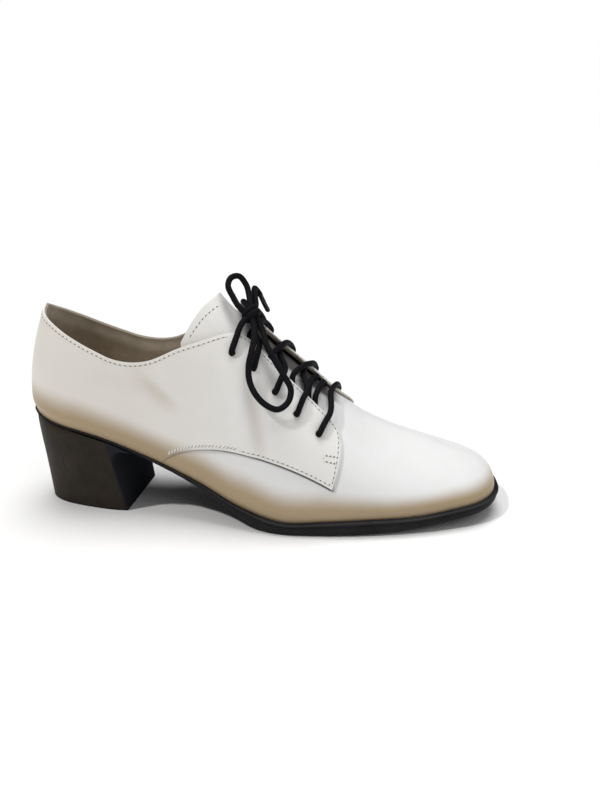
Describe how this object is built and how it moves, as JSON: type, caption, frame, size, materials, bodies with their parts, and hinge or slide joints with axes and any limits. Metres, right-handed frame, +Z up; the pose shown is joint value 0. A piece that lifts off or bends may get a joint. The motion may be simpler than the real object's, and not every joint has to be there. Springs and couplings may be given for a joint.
{
  "type": "lace-up heeled shoe",
  "caption": "White leather lace-up heeled shoe with a low black block heel, black sole and black round laces tied in a bow, right foot.",
  "frame": {"origin": "centre of the bounding box of the shoe without its bow, on the floor plane under heel and forefoot", "axes": "+X from heel to toe, -Y to the lateral (outer) side, +Z up"},
  "size_m": [0.2714, 0.0888, 0.1336],
  "materials": {
    "white_leather_vamp": "satin",
    "white_leather_quarter": "satin",
    "black_outsole": "matte",
    "black_heel": "satin",
    "tan_insole": "matte",
    "black_lace": "matte"
  },
  "bodies": {
    "root": {"outsole": "black_outsole", "heel": "black_heel", "insole": "tan_insole", "upper": "white_leather_vamp", "tongue": "white_leather_vamp", "quarter_lateral": "white_leather_quarter", "quarter_medial": "white_leather_quarter", "lace_bar": "black_lace", "lace_crossing_1": "black_lace", "lace_crossing_2": "black_lace", "lace_crossing_3": "black_lace", "lace_crossing_4": "black_lace", "lace_strand_lateral": "black_lace", "lace_strand_medial": "black_lace", "lace_knot": "black_lace", "lace_loop_lateral": "black_lace", "lace_loop_upper": "black_lace", "lace_end_upper": "black_lace", "lace_end_medial": "black_lace"}
  },
  "joints": []
}
